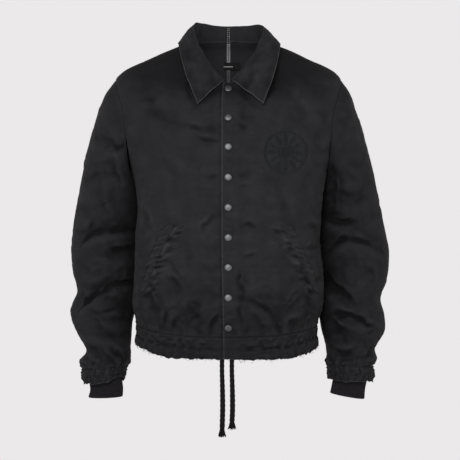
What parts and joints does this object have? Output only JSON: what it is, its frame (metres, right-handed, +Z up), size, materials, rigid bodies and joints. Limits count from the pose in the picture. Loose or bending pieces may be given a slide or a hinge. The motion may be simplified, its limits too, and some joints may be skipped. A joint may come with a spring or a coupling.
{
  "type": "coach jacket",
  "caption": "Coach jacket in washed black cotton twill with a point collar, a snap front, slanting welt pockets, a gathered drawcord hem and rib cuffs inside gathered sleeve ends",
  "frame": {"origin": "Between the two high shoulder points, in the middle of the neck opening, where the wearer's shoulders carry the jacket", "axes": "+Z up along the wearer, -Y the front with the snaps, +X the wearer's left side"},
  "size_m": [0.6461, 0.2988, 0.8169],
  "materials": {
    "black_twill": "washed black cotton twill, matte",
    "rib_knit": "black rib knit, matte",
    "gunmetal": "oxidised gunmetal snap caps, satin",
    "cotton_braid": "black braided cotton cord, matte",
    "seam_tape": "grey woven seam tape, matte",
    "woven_label": "black woven label, smooth"
  },
  "bodies": {
    "root": {"front_left": "black_twill", "front_right": "black_twill", "back_left": "black_twill", "back_right": "black_twill", "hem_band_front_left": "black_twill", "hem_band_front_right": "black_twill", "hem_band_back_left": "black_twill", "hem_band_back_right": "black_twill", "sleeve_left": "black_twill", "sleeve_right": "black_twill", "cuff_left": "black_twill", "cuff_right": "black_twill", "collar": "black_twill", "pocket_welt_left": "black_twill", "pocket_welt_right": "black_twill", "rib_cuff_left": "rib_knit", "rib_cuff_right": "rib_knit", "snap_1": "gunmetal", "snap_2": "gunmetal", "snap_3": "gunmetal", "snap_4": "gunmetal", "snap_5": "gunmetal", "snap_6": "gunmetal", "snap_7": "gunmetal", "snap_8": "gunmetal", "snap_9": "gunmetal", "drawcord_left": "cotton_braid", "drawcord_right": "cotton_braid", "drawcord_tuft_left": "cotton_braid", "drawcord_tuft_right": "cotton_braid", "back_seam_tape": "seam_tape", "neck_label": "woven_label"}
  },
  "joints": []
}
